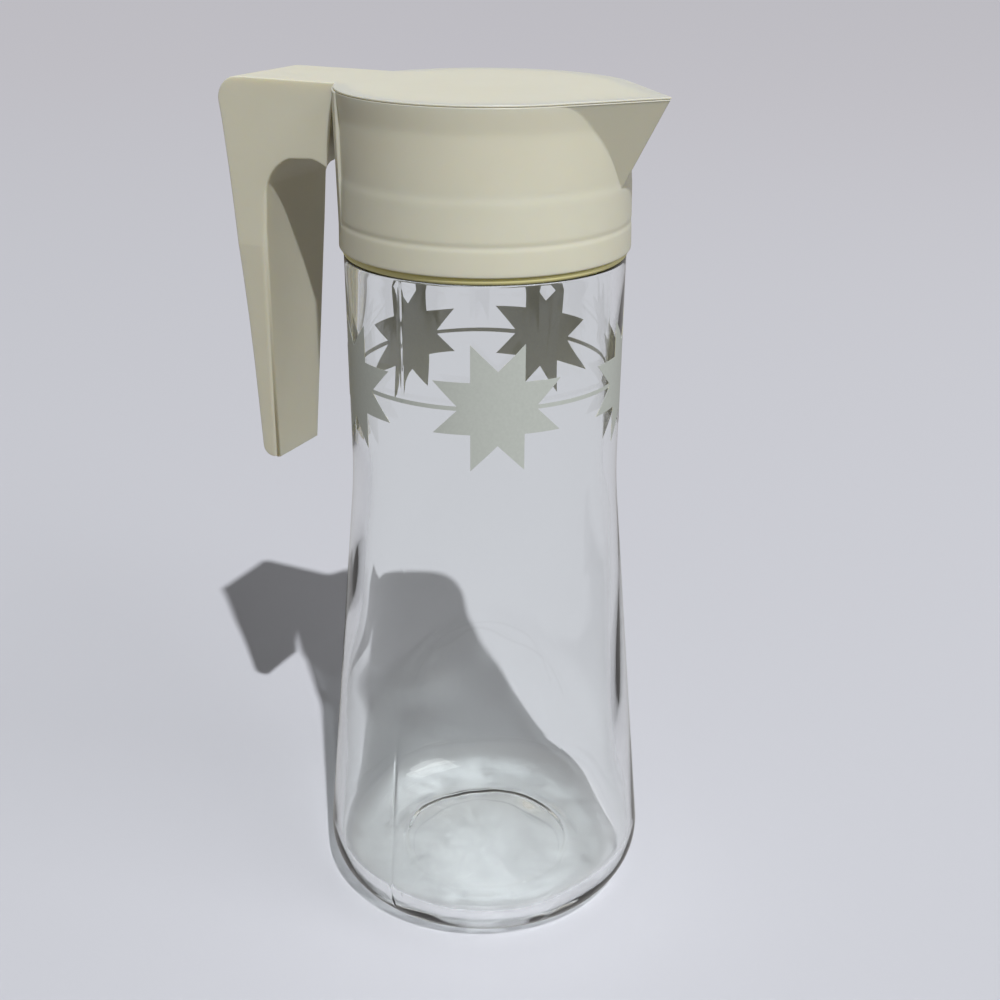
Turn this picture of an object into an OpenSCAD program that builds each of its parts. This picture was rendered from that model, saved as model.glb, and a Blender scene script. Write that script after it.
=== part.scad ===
// Syrup dispenser: a flared glass jar with a push-on pouring collar, and a lid
// that is moulded in one with its handle and hinges at the collar's rear.
// Millimetres. The origin is on the jar's axis where the jar rests, +Z is up and
// the spout points along +X, so the handle stands out along -X.

/* [Jar] */
// Widest radius of the jar, just above its heel
base_r = 37.2; // [34:0.1:42]
// Radius of the rounded heel
heel_r = 12; // [6:0.5:14]
// Inner radius of the ring that the jar rests on
rest_in_r = 20.4; // [14:0.2:22]
// Rise of the recessed underside inside the rest ring
push_up = 0.9; // [0.3:0.1:2]
// How far the waist between flare and neck lies in from the neck
waist_in = 0.28; // [0:0.01:1]
// Height where the flare meets the neck
waist_h = 102.5; // [80:0.5:115]
// Radius of the long curve between flare and neck
waist_blend_r = 130; // [60:5:180]
// Width of the shoulder between neck and mouth
shoulder_w = 2.25; // [1.8:0.05:3]
// Height of the shoulder that the collar's seal rests on
shoulder_h = 151.85; // [140:0.5:165]
// Radius of the rounded shoulder edge
shoulder_round = 1; // [0.4:0.1:1.5]
// Outer radius of the mouth above the shoulder
mouth_r = 27; // [24:0.1:30]
// Height of the mouth above the shoulder
mouth_h = 16.3; // [12:0.1:20]
// Glass thickness at the mouth
mouth_t = 2.7; // [2:0.1:3.5]
// Glass thickness of the wall
wall_t = 2.9; // [2:0.1:4]
// Glass thickness of the floor
floor_t = 6; // [3:0.5:10]
// Radius of the corner between wall and floor inside
inner_heel_r = 9; // [4:0.5:12]

/* [Neck seal] */
// Thickness of the sleeve between the mouth and the collar's skirt
sleeve_t = 1.4; // [0.8:0.1:1.8]
// How far the flange that shows below the collar lies in from its surface
flange_in = 0.65; // [0.2:0.05:1]
// Thickness of the flange
flange_t = 1.5; // [1:0.1:2.5]
// Thickness of the lip over the jar's mouth
lip_t = 1; // [0.6:0.1:2]
// Radial clearance between the sleeve and the mouth of the jar
sleeve_fit = 0.1; // [0.05:0.01:0.2]
// Clearance under the flange and under the lip
seat_gap = 0.1; // [0.05:0.01:0.3]

/* [Collar] */
// Thickness of the skirt at the collar's foot
skirt_t = 1.65; // [1.3:0.05:2.5]
// Height of the collar
collar_h = 30.2; // [26:0.1:36]
// Chamfer on the collar's lower edge
foot_chamfer = 0.35; // [0.1:0.05:0.8]
// Height of the lowest band
low_band_h = 7.2; // [4:0.1:9]
// Height of the middle band
mid_band_h = 9; // [5:0.1:10]
// Depth of the line between the two lower bands
band_groove = 0.25; // [0.1:0.05:0.4]
// Half height of that line
band_groove_half_h = 0.35; // [0.2:0.05:0.8]
// Inward lean of the lowest band
low_band_lean = 0.15; // [0:0.05:0.3]
// Inward lean of the middle band
mid_band_lean = 0.35; // [0:0.05:0.45]
// Height of the upright edge under the lid
rim_band_h = 1; // [0.5:0.1:2]
// Height of the slope below that edge
rim_slope_h = 3.5; // [1:0.1:5]
// How far the shelf reaches in over the jar's mouth
shelf_in = 2.5; // [1:0.1:3]
// Thickness of that shelf
shelf_t = 1.7; // [1:0.1:2.5]
// Thickness of the wall round the chamber above the shelf, at its rim
rim_t = 2.25; // [1.5:0.05:3]

/* [Spout] */
// How far the spout's tip stands out from the collar
spout_l = 8.85; // [6:0.05:12]
// Distance from the collar's rim down to the foot of the spout
spout_drop = 16.3; // [10:0.1:18]
// Wall of the spout
spout_wall = 1.5; // [1:0.1:2]

/* [Hinge] */
// Distance from the collar's surface out to the hinge
pivot_out = 2.85; // [2.4:0.05:4]
// Distance from the lid's underside down to the hinge
pivot_drop = 4.2; // [3.8:0.1:5]
// Radius of the lug's round end
lug_r = 3; // [2.4:0.1:3.4]
// Width of the lug
lug_w = 8; // [6:0.2:10]
// Radius of the trunnions on the lug's sides
trunnion_r = 1.7; // [1.2:0.1:2]
// Radial clearance of the trunnions in the cheeks
trunnion_fit = 0.05; // [0.02:0.01:0.1]
// Clearance on each side of the lug
lug_side_gap = 0.3; // [0.2:0.05:0.5]
// Clearance under the lug
lug_under_gap = 1; // [0.8:0.1:1.6]

/* [Lid] */
// Thickness of the lid
lid_t = 1.25; // [1:0.05:2]
// Clearance between the collar's rim and the lid
lid_gap = 0.2; // [0.1:0.05:0.4]
// Clearance between the chamber and the stiffening ring under the lid
ring_gap = 2.6; // [1.5:0.1:4]
// Thickness of that ring
ring_t = 1.2; // [0.8:0.1:2]
// Depth of that ring
ring_h = 2.2; // [1:0.1:3]

/* [Handle] */
// Wall of the hollow handle
handle_wall = 1.8; // [1.2:0.1:2.2]
// Width of the handle at the top
handle_w = 23.6; // [20:0.2:26]
// Width of the grip at its lower end
grip_end_w = 17; // [14:0.2:22]
// Length of the handle, from the lid's top down to the grip's lower end
handle_l = 84.3; // [70:0.1:95]
// Distance from the lid's top down to where the grip starts to narrow
taper_drop = 35.1; // [25:0.1:50]
// How far the grip's lower end lies in from the handle's outer edge
grip_lean = 3.6; // [1:0.1:5]
// Depth of the handle at the top of the grip
grip_depth = 10.6; // [9:0.1:14]
// Distance from the lid's top down to where the outer face turns upright
lean_drop = 67.1; // [55:0.1:69]
// Distance from the collar's surface out to the handle's rear at the top
handle_out = 26.55; // [22:0.05:32]
// Radius of the top rear corner
top_round = 3.7; // [2:0.1:6]
// Radius of the lower rear corner
end_round = 2.4; // [1:0.1:3]
// Clearance between collar and handle, level with the hinge
web_gap = 1; // [0.9:0.05:1.5]
// Slope of the handle's front face in degrees
web_slope = 8.6; // [8:0.1:12]
// Height of the bridge over the finger opening, with the lid
bridge_h = 15.9; // [13:0.1:20]
// Radius of the opening's rear corner
arch_rear_r = 6.5; // [4:0.1:9]
// Radius of the opening's front corner
arch_front_r = 5; // [4:0.1:7]
// Length of the opening's flat top between the two corners
arch_flat = 5.4; // [3:0.1:8]
// Slope of the grip's inner face in degrees
grip_slope = 2.7; // [0:0.1:3.5]
// Thickness of the ribs inside the handle
rib_t = 1.4; // [1:0.1:2]
// Number of cross ribs in the grip
rib_count = 3; // [0:1:6]
// Length of the hinge cheeks behind the hinge
cheek_l = 7; // [4:0.1:10]

/* [Hidden] */
$fn = 96;
arc_steps = 12;
eps = 0.01;

glass_colour = [0.82, 0.87, 0.86, 0.45];
vinyl_colour = [0.56, 0.53, 0.28];
cream_colour = [0.86, 0.84, 0.74];

// Radii of the stack, from the mouth of the jar out to the collar's surface
neck_r = mouth_r + shoulder_w;
waist_r = neck_r - waist_in;
shelf_r = mouth_r - shelf_in;
sleeve_r = mouth_r + sleeve_fit + sleeve_t;
collar_r = sleeve_r + skirt_t;
flange_r = collar_r - flange_in;
chamber_r = collar_r - rim_t;
ring_r = chamber_r - ring_gap;

// Distances from the axis to the spout's tip, the hinge and the handle's rear
spout_reach = collar_r + spout_l;
pivot_x = collar_r + pivot_out;
handle_reach = collar_r + handle_out;

// Heights of the stack, from the shoulder of the jar to the top of the lid
mouth_z = shoulder_h + mouth_h;
foot_z = shoulder_h + seat_gap + flange_t;
shelf_z = mouth_z + seat_gap + lip_t;
shelf_top_z = shelf_z + shelf_t;
rim_z = foot_z + collar_h;
low_band_z = foot_z + low_band_h;
mid_band_z = low_band_z + mid_band_h;
lid_z = rim_z + lid_gap;
top_z = lid_z + lid_t;
pivot_z = lid_z - pivot_drop;

// Heights of the handle, which hangs from the lid
grip_h = top_z - handle_l;
taper_h = top_z - taper_drop;
lean_h = top_z - lean_drop;
arch_h = top_z - bridge_h;

// Larger than the whole part, for cuts that go right through
big = 2 * top_z;

low_band_r = collar_r - low_band_lean;
waistline_r = low_band_r - mid_band_lean;

// The spout's side planes touch the rim where a line from the tip is tangent
spout_angle = acos(collar_r / spout_reach);
tangent_x = collar_r * cos(spout_angle);
tangent_y = collar_r * sin(spout_angle);
spout_tip = [spout_reach, 0, rim_z];
spout_foot = [collar_r, 0, rim_z - spout_drop];
spout_left = [tangent_x, tangent_y, rim_z];
spout_normal = cross(spout_left - spout_tip, spout_foot - spout_tip);
spout_out = spout_normal.x < 0 ? -spout_normal : spout_normal;

web_r = collar_r + web_gap;
cheek_t = rib_t;
cheek_in = lug_w / 2 + lug_side_gap;
cheek_x = pivot_x + cheek_l;
half_handle = handle_w / 2;
half_grip_end = grip_end_w / 2;
grip_out = handle_reach - grip_lean;
arch_rear_x = handle_reach - grip_depth - arch_rear_r;
arch_front_x = arch_rear_x - arch_flat;

// Points on a circle round c, from angle a0 to angle a1
function arc(c, r, a0, a1) =
    [for (i = [0 : arc_steps]) let (a = a0 + (a1 - a0) * i / arc_steps) c + r * [cos(a), sin(a)]];

// Lean of the flare for a skin that lies inset inside the outer surface
function lean(inset, foot, corner, a = 0) =
    atan((base_r - inset - corner * (1 - cos(a)) - waist_r + inset)
        / (waist_h - foot - corner * (1 + sin(a))));

// Profile of one skin of the jar, from its floor corner up to the straight neck
function skin(inset, foot, corner) =
    let (a = lean(inset, foot, corner, lean(inset, foot, corner)))
    let (blend = waist_blend_r + inset)
    let (rise = blend * tan(a / 2))
    concat(
        arc([base_r - inset - corner, foot + corner], corner, -90, a),
        arc([waist_r - inset + blend, waist_h + rise], blend, 180 + a, 180));

function reversed(points) = [for (i = [len(points) - 1 : -1 : 0]) points[i]];

// Glass jar

module glass_jar() {
    color(glass_colour)
        rotate_extrude()
            difference() {
                polygon(jar_outside());
                polygon(jar_inside());
            }
}

function jar_outside() = concat(
    [[0, push_up], [rest_in_r - push_up, push_up], [rest_in_r, 0]],
    skin(0, 0, heel_r),
    arc([neck_r - shoulder_round, shoulder_h - shoulder_round], shoulder_round, 0, 90),
    [[mouth_r, shoulder_h]],
    arc([mouth_r - mouth_t / 2, mouth_z - mouth_t / 2], mouth_t / 2, 0, 90),
    [[0, mouth_z]]);

function jar_inside() = concat(
    [[0, floor_t]],
    skin(wall_t, floor_t, inner_heel_r),
    [[neck_r - wall_t, shoulder_h - 2 * wall_t], [mouth_r - mouth_t, shoulder_h]],
    reversed(arc([mouth_r - mouth_t / 2, mouth_z - mouth_t / 2], mouth_t / 2, 90, 180)),
    [[mouth_r - mouth_t / 2, mouth_z + eps], [0, mouth_z + eps]]);

// Neck seal: a vinyl sleeve with a flange outside and a lip over the mouth

module neck_seal() {
    inner = mouth_r + sleeve_fit;
    flange_round = flange_t / 2;
    color(vinyl_colour)
        rotate_extrude()
            polygon(concat(
                [[inner, foot_z - flange_t]],
                arc([flange_r - flange_round, foot_z - flange_round], flange_round, -90, 90),
                [[sleeve_r, foot_z], [sleeve_r, shelf_z], [shelf_r, shelf_z],
                 [shelf_r, shelf_z - lip_t], [inner, shelf_z - lip_t]]));
}

// Collar

module collar() {
    color(cream_colour)
        union() {
            difference() {
                union() {
                    collar_skin();
                    spout_body(0, tangent_x, rim_z - spout_drop, rim_z);
                }
                collar_inside();
                spout_body(spout_wall, tangent_x - spout_wall / 2, shelf_top_z, rim_z + eps);
            }
            hinge_lug();
        }
}

// Outer surface: three bands, a fine line between the lower two and a rim
module collar_skin() {
    rotate_extrude()
        polygon([
            [0, foot_z],
            [collar_r - foot_chamfer, foot_z],
            [collar_r, foot_z + foot_chamfer],
            [low_band_r, low_band_z - band_groove_half_h],
            [low_band_r - band_groove, low_band_z],
            [low_band_r, low_band_z + band_groove_half_h],
            [waistline_r, mid_band_z],
            [waistline_r, rim_z - rim_band_h - rim_slope_h],
            [collar_r, rim_z - rim_band_h],
            [collar_r, rim_z],
            [0, rim_z]]);
}

// Skirt round the seal, passage through the shelf and the chamber below the lid
module collar_inside() {
    translate([0, 0, foot_z - eps])
        cylinder(r = sleeve_r, h = shelf_z - foot_z + eps);
    translate([0, 0, foot_z])
        cylinder(r = shelf_r, h = collar_h);
    translate([0, 0, shelf_top_z])
        cylinder(r = chamber_r, h = collar_h);
}

// The lug behind the collar, with a trunnion on each side
module hinge_lug() {
    translate([-pivot_x, 0, pivot_z])
        rotate([90, 0, 0]) {
            cylinder(r = lug_r, h = lug_w, center = true);
            translate([0, -lug_r, -lug_w / 2])
                cube([pivot_x - (waistline_r + chamber_r) / 2, 2 * lug_r, lug_w]);
            cylinder(r = trunnion_r, h = 2 * (cheek_in + cheek_t), center = true);
        }
}

// The space between the spout's two side planes, moved in by inset
module spout_body(inset, from_x, from_z, to_z) {
    intersection() {
        translate([from_x, -collar_r, from_z])
            cube([spout_reach, 2 * collar_r, to_z - from_z]);
        spout_side(inset);
        mirror([0, 1, 0])
            spout_side(inset);
    }
}

module spout_side(inset) {
    n = spout_out / norm(spout_out);
    translate(spout_tip - inset * n)
        rotate([0, acos(n.z), atan2(n.y, n.x)])
            translate([-big / 2, -big / 2, -big / 2])
                cube([big, big, big / 2]);
}

// Lid and handle, one moulding

module lid_and_handle() {
    color(cream_colour)
        difference() {
            union() {
                lid_plate();
                lid_ring();
                handle_shell();
                handle_ribs();
                hinge_cheeks();
            }
            lug_slot();
            trunnion_bores();
        }
}

module lid_plate() {
    translate([0, 0, lid_z])
        linear_extrude(lid_t) {
            circle(r = collar_r);
            polygon([[0, 0], [tangent_x, -tangent_y], [spout_reach, 0], [tangent_x, tangent_y]]);
            translate([-pivot_x, -half_handle])
                square([pivot_x, handle_w]);
        }
}

// Ring under the lid that keeps it flat, clear of the chamber as it swings up
module lid_ring() {
    translate([0, 0, lid_z - ring_h])
        difference() {
            cylinder(r = ring_r, h = ring_h + eps);
            translate([0, 0, -eps])
                cylinder(r = ring_r - ring_t, h = ring_h + 3 * eps);
        }
}

module handle_shell() {
    difference() {
        handle_form(0)
            handle_side();
        web_front(0);
        difference() {
            handle_form(handle_wall)
                handle_void(handle_wall);
            web_front(handle_wall);
        }
    }
}

// The handle's hollow front face: a cylinder round the collar that leans away
// from it below the hinge, which leaves room for the lid to open
module web_front(grow) {
    intersection() {
        translate([-web_r, 0, pivot_z])
            rotate([0, web_slope, 0])
                translate([web_r, 0, 0])
                    cylinder(r = web_r + grow, h = big, center = true);
        translate([-big, -big / 2, 0])
            cube([big, big, lid_z]);
    }
}

// A side profile, drawn with the handle's reach as x, cut to the front outline
module handle_form(inset) {
    intersection() {
        mirror([1, 0, 0])
            rotate([90, 0, 0])
                linear_extrude(big, center = true)
                    children();
        rotate([90, 0, 90])
            linear_extrude(big, center = true)
                polygon(front_outline(inset));
    }
}

function front_outline(inset) = [
    [half_handle - inset, big],
    [half_handle - inset, taper_h],
    [half_grip_end - inset, grip_h],
    [inset - half_grip_end, grip_h],
    [inset - half_handle, taper_h],
    [inset - half_handle, big]];

// Outer face: upright at the grip's end, then a long curve out to the top
lean_rise = top_z - top_round - lean_h;
lean_r = (lean_rise * lean_rise + grip_lean * grip_lean) / (2 * grip_lean);
function outer_x(z) = z < lean_h ? grip_out
    : grip_out + lean_r - sqrt(lean_r * lean_r - (z - lean_h) * (z - lean_h));
outer_curve = [for (i = [0 : arc_steps])
    let (z = lean_h + lean_rise * i / arc_steps) [outer_x(z), z]];

module handle_side() {
    difference() {
        polygon(concat(
            [[chamber_r, top_z], [chamber_r, grip_h]],
            arc([grip_out - end_round, grip_h + end_round], end_round, -90, 0),
            outer_curve,
            arc([handle_reach - top_round, top_z - top_round], top_round, 0, 90)));
        finger_opening(0);
    }
}

// Inside of the handle, open at the rear and set in by inset elsewhere
module handle_void(inset) {
    difference() {
        translate([chamber_r, grip_h + inset])
            square([handle_reach, lid_z - grip_h - inset]);
        finger_opening(inset);
    }
}

// The opening for the fingers, grown outwards by grow
module finger_opening(grow) {
    rear = [arch_rear_x, arch_h - arch_rear_r];
    front = [arch_front_x, arch_h - arch_front_r];
    touch = rear + (arch_rear_r + grow) * [cos(grip_slope), sin(grip_slope)];
    low = grip_h - arch_rear_r;
    translate(rear)
        circle(r = arch_rear_r + grow);
    translate(front)
        circle(r = arch_front_r + grow);
    translate([front.x, low])
        square([rear.x - front.x, arch_h + grow - low]);
    polygon([
        [0, low],
        [0, front.y],
        front,
        rear,
        touch,
        [touch.x + tan(grip_slope) * (touch.y - low), low]]);
}

// A rib along the middle of the grip and cross ribs, set in from the open rear
module handle_ribs() {
    set_in = rib_t;
    root = handle_wall - eps;
    intersection() {
        handle_form(root)
            intersection() {
                handle_void(root);
                polygon(concat(
                    [[0, grip_h], [grip_out - set_in, grip_h], [grip_out - set_in, lean_h]],
                    [for (p = outer_curve) p - [set_in, 0]],
                    [[0, top_z]]));
            }
        union() {
            translate([-big, -rib_t / 2, grip_h])
                cube([big - arch_rear_x, rib_t, arch_h - grip_h]);
            for (i = [1 : 1 : rib_count])
                translate([-big, -big / 2, grip_h + i * (arch_h - grip_h) / (rib_count + 1)])
                    cube([big, big, rib_t]);
        }
    }
}

// Two plates that hold the trunnions of the lug
module hinge_cheeks() {
    difference() {
        intersection() {
            handle_form(0)
                difference() {
                    handle_side();
                    translate([cheek_x, 0])
                        square(big);
                }
            for (side = [-1, 1])
                translate([-big, side * (cheek_in + cheek_t / 2) - cheek_t / 2, arch_h])
                    cube([big, cheek_t, big]);
        }
        web_front(0);
    }
}

// Opening in the handle's front face for the lug
module lug_slot() {
    slot_h = lug_r + lug_under_gap;
    translate([-pivot_x - lug_r, -cheek_in, pivot_z - slot_h])
        cube([pivot_x + lug_r - chamber_r, 2 * cheek_in, lid_z - pivot_z + slot_h]);
}

module trunnion_bores() {
    translate([-pivot_x, 0, pivot_z])
        rotate([90, 0, 0])
            cylinder(r = trunnion_r + trunnion_fit, h = 2 * (cheek_in + cheek_t + eps), center = true);
}

glass_jar();
neck_seal();
collar();
lid_and_handle();
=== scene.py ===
"""Looks of a syrup dispenser: a pressed glass jar with a fired star print, a vinyl
neck seal, a moulded pouring collar, and a lid moulded in one with its handle.

Everything is in metres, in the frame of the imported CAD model: the jar stands on
z = 0 round the Z axis, the spout points along +X and the handle along -X.
"""

import logging
import math
from dataclasses import dataclass, field
from enum import Enum
from typing import Any

import bmesh
import bpy
import numpy as np
from mathutils import Matrix, Vector


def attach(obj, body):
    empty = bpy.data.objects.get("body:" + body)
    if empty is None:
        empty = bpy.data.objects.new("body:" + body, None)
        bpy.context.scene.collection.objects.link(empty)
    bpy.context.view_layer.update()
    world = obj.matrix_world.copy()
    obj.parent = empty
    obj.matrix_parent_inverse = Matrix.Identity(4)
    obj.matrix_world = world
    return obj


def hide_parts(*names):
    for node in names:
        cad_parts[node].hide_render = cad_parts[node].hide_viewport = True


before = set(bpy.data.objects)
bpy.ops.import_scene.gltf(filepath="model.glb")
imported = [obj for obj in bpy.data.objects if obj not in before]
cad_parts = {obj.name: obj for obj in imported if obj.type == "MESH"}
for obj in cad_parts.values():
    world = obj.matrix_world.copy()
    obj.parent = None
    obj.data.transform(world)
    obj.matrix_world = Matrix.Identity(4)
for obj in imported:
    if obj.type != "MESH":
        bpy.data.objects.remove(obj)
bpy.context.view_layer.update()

MM = 0.001
MERGE_M = 1e-6
SHARP_DEG = 35.0
log = logging.getLogger("syrup_dispenser")


class Body(Enum):
    """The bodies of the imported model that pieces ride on."""

    JAR = "jar"
    COLLAR = "collar"
    LID = "lid"


class Slot(Enum):
    """The record's material slots."""

    GLASS = "glass"
    VINYL = "vinyl"
    PLASTIC = "cream_plastic"


def arc(
    centre: tuple[float, float], radius: float, start: float, end: float, steps: int = 9
) -> np.ndarray:
    """Points on a circle: centre + radius * (cos a, sin a), with a in even steps.

    Args:
        centre: Middle of the circle.
        radius: Its radius.
        start: First angle in degrees.
        end: Last angle in degrees.
        steps: Number of points.

    Returns:
        An array of shape (steps, 2).
    """
    a = np.radians(np.linspace(start, end, steps))
    return np.array(centre) + radius * np.stack([np.cos(a), np.sin(a)], axis=1)


def resample(line: np.ndarray, spacing: float) -> np.ndarray:
    """Adds points to a polyline so that none of its steps is longer than spacing.

    Each step of length L gets ceil(L / spacing) equal parts, so corners stay.

    Args:
        line: Points of shape (n, 2).
        spacing: Longest step.

    Returns:
        The denser polyline.
    """
    lengths = np.linalg.norm(np.diff(line, axis=0), axis=1)
    parts = np.maximum(1, np.ceil(lengths / spacing)).astype(int)
    place = np.concatenate([[0.0], np.cumsum(parts)])
    at = np.arange(place[-1] + 1)
    return np.stack([np.interp(at, place, line[:, k]) for k in range(line.shape[1])], axis=1)


def grid_piece(name: str, points: np.ndarray, wrap_rows: bool = False) -> bpy.types.Object:
    """Makes a closed piece from a grid of points in millimetres, one quad to each cell.

    The last column is joined to the first. Points closer than a micrometre
    are merged, which closes seams and poles, and the faces are turned outwards.

    Args:
        name: Name of the piece.
        points: Array of shape (rows, columns, 3).
        wrap_rows: Joins the last row to the first.

    Returns:
        The new object, smooth shaded.
    """
    rows, columns = points.shape[:2]
    index = np.arange(rows * columns).reshape(rows, columns)
    if wrap_rows:
        index = np.concatenate([index, index[:1]], axis=0)
    index = np.concatenate([index, index[:, :1]], axis=1)
    quads = np.stack([index[:-1, :-1], index[:-1, 1:], index[1:, 1:], index[1:, :-1]], axis=-1)
    quads = quads.reshape(-1, 4)
    mesh = bpy.data.meshes.new(name)
    mesh.vertices.add(rows * columns)
    mesh.vertices.foreach_set("co", (points * MM).astype(np.float32).ravel())
    mesh.loops.add(quads.size)
    mesh.loops.foreach_set("vertex_index", quads.astype(np.int32).ravel())
    mesh.polygons.add(len(quads))
    mesh.polygons.foreach_set("loop_start", np.arange(0, quads.size, 4, dtype=np.int32))
    mesh.update(calc_edges=True)
    shape = bmesh.new()
    shape.from_mesh(mesh)
    bmesh.ops.remove_doubles(shape, verts=shape.verts, dist=MERGE_M)
    bmesh.ops.dissolve_degenerate(shape, edges=shape.edges, dist=MERGE_M)
    bmesh.ops.recalc_face_normals(shape, faces=shape.faces)
    shape.to_mesh(mesh)
    shape.free()
    mesh.shade_smooth()
    mesh.set_sharp_from_angle(angle=math.radians(SHARP_DEG))
    piece = bpy.data.objects.new(name, mesh)
    bpy.context.scene.collection.objects.link(piece)
    return piece


def revolve(name: str, profile: np.ndarray, angles: np.ndarray) -> bpy.types.Object:
    """Turns a profile round the Z axis: (r cos a, r sin a, z) on a grid.

    Args:
        name: Name of the piece.
        profile: Points (r, z) in millimetres.
        angles: Angles in radians, one turn without its last.

    Returns:
        The new object.
    """
    r, z = profile[:, :1], profile[:, 1:]
    points = np.stack([r * np.cos(angles), r * np.sin(angles), z + 0 * angles], axis=-1)
    return grid_piece(name, points)


def dress(
    piece: bpy.types.Object, material: bpy.types.Material, body: Body
) -> bpy.types.Object:
    """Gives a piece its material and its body.

    Args:
        piece: The piece.
        material: Its finish.
        body: The body that it rides on.

    Returns:
        The same piece.
    """
    piece.data.materials.clear()
    piece.data.materials.append(material)
    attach(piece, body.value)
    log.info("%s rides on %s, %d faces", piece.name, body.value, len(piece.data.polygons))
    return piece


def read(items: Any, name: str, width: int = 1, kind: type = np.float32) -> np.ndarray:
    """Reads one attribute of all items of a mesh.

    Args:
        items: The mesh's vertices, edges, loops or polygons.
        name: Name of the attribute.
        width: Number of values to each item.
        kind: Type of the values.

    Returns:
        An array of shape (n,), or (n, width) for more than one value.
    """
    values = np.empty(len(items) * width, dtype=kind)
    items.foreach_get(name, values)
    return values.reshape(-1, width) if width > 1 else values


def face_back(piece: bpy.types.Object, material: bpy.types.Material) -> None:
    """Gives a second material to the faces of a thin film that look at the jar's axis.

    Args:
        piece: The film.
        material: The material of its inner faces, here a lighter, warmer copy of the enamel that
            paints light on them.
    """
    sides = piece.data.polygons
    inward = (read(sides, "normal", 3) * read(sides, "center", 3))[:, :2].sum(axis=1) < 0
    piece.data.materials.append(material)
    sides.foreach_set("material_index", inward.astype(np.int32))


def even_normals(piece: bpy.types.Object) -> None:
    """Weights a piece's normals by face area, so that flats beside small rounds stay flat."""
    modifier = piece.modifiers.new("even_normals", "WEIGHTED_NORMAL")
    modifier.keep_sharp = True


def linear(colour: str, alpha: float = 1.0) -> tuple[float, float, float, float]:
    """Turns an sRGB hex colour to linear values.

    Each channel c is c / 12.92 below 0.04045, and ((c + 0.055) / 1.055) ** 2.4 above.

    Args:
        colour: Such as "#CDCBB9".
        alpha: Fourth value.

    Returns:
        Red, green, blue and alpha.
    """
    c = np.array([int(colour[i : i + 2], 16) for i in (1, 3, 5)]) / 255
    c = np.where(c <= 0.04045, c / 12.92, ((c + 0.055) / 1.055) ** 2.4)
    return (float(c[0]), float(c[1]), float(c[2]), alpha)


def add_node(
    tree: bpy.types.NodeTree, kind: str, inputs: dict[str | int, Any] | None = None, **settings: Any
) -> bpy.types.Node:
    """Adds a node with its settings, its constant inputs and its links.

    Args:
        tree: The node tree.
        kind: Blender's name of the node.
        inputs: Value or output socket for each input, by name or number.
        settings: The node's own properties.

    Returns:
        The new node.
    """
    node = tree.nodes.new(kind)
    for key, value in settings.items():
        setattr(node, key, value)
    for key, value in (inputs or {}).items():
        if isinstance(value, bpy.types.NodeSocket):
            tree.links.new(value, node.inputs[key])
        else:
            node.inputs[key].default_value = value
    return node


def new_material(name: str) -> tuple[bpy.types.Material, bpy.types.NodeTree]:
    """Makes an empty node material.

    Args:
        name: Name of the material.

    Returns:
        The material and its node tree.
    """
    material = bpy.data.materials.new(name)
    material.use_nodes = True
    material.node_tree.nodes.clear()
    return material, material.node_tree


def object_place(tree: bpy.types.NodeTree) -> bpy.types.NodeSocket:
    """Adds Object coordinates and returns their socket."""
    return add_node(tree, "ShaderNodeTexCoord").outputs["Object"]


def calculate(
    tree: bpy.types.NodeTree, operation: str, *values: Any, clamp: bool = False
) -> bpy.types.NodeSocket:
    """Adds a maths node on the given values and returns its result."""
    inputs = dict(enumerate(values))
    return add_node(tree, "ShaderNodeMath", inputs, operation=operation, use_clamp=clamp).outputs[0]


def mix_colour(
    tree: bpy.types.NodeTree, share: Any, first: Any, second: Any
) -> bpy.types.NodeSocket:
    """Adds a mix of two colours, with the share of the second, and returns its result."""
    inputs = {"Factor": share, "A": first, "B": second}
    return add_node(tree, "ShaderNodeMix", inputs, data_type="RGBA").outputs["Result"]


def remap(
    tree: bpy.types.NodeTree,
    value: bpy.types.NodeSocket,
    span: tuple[float, float],
    result: tuple[float, float] = (0.0, 1.0),
    **settings: Any,
) -> bpy.types.NodeSocket:
    """Adds a node that maps one span of values to another and holds it at the ends.

    Args:
        tree: The node tree.
        value: The value to map.
        span: Its two ends.
        result: What the two ends turn to.
        settings: The node's own properties.

    Returns:
        The mapped value's socket.
    """
    ends = {"From Min": span[0], "From Max": span[1], "To Min": result[0], "To Max": result[1]}
    return add_node(tree, "ShaderNodeMapRange", {"Value": value, **ends}, **settings).outputs[0]


def turn_place(
    tree: bpy.types.NodeTree, degrees: float, scale: tuple[float, float, float] = (1.0, 1.0, 1.0)
) -> bpy.types.NodeSocket:
    """Adds Object coordinates, turned round Z and scaled, and returns their socket."""
    turn = (0.0, 0.0, math.radians(degrees))
    inputs = {"Vector": object_place(tree), "Rotation": turn, "Scale": scale}
    return add_node(tree, "ShaderNodeMapping", inputs).outputs[0]


def noise(
    tree: bpy.types.NodeTree,
    place: bpy.types.NodeSocket,
    size_mm: float,
    detail: float,
    distortion: float = 0.0,
) -> bpy.types.NodeSocket:
    """Adds soft noise with patches of a real size.

    Args:
        tree: The node tree.
        place: Coordinates in metres.
        size_mm: Size of a patch.
        detail: Number of finer layers.
        distortion: How much the patches wind.

    Returns:
        The noise's value, about 0.5 in the mean.
    """
    scale = 1 / (size_mm * MM)
    inputs = {"Vector": place, "Scale": scale, "Detail": detail, "Distortion": distortion}
    return add_node(tree, "ShaderNodeTexNoise", inputs).outputs["Fac"]


def with_surface(material: bpy.types.Material, inputs: dict[str, Any]) -> bpy.types.Material:
    """Gives a material one Principled surface.

    Args:
        material: The material.
        inputs: The surface's constant inputs and links.

    Returns:
        The same material.
    """
    surface = add_node(material.node_tree, "ShaderNodeBsdfPrincipled", inputs)
    add_node(material.node_tree, "ShaderNodeOutputMaterial", {"Surface": surface.outputs[0]})
    return material


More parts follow.
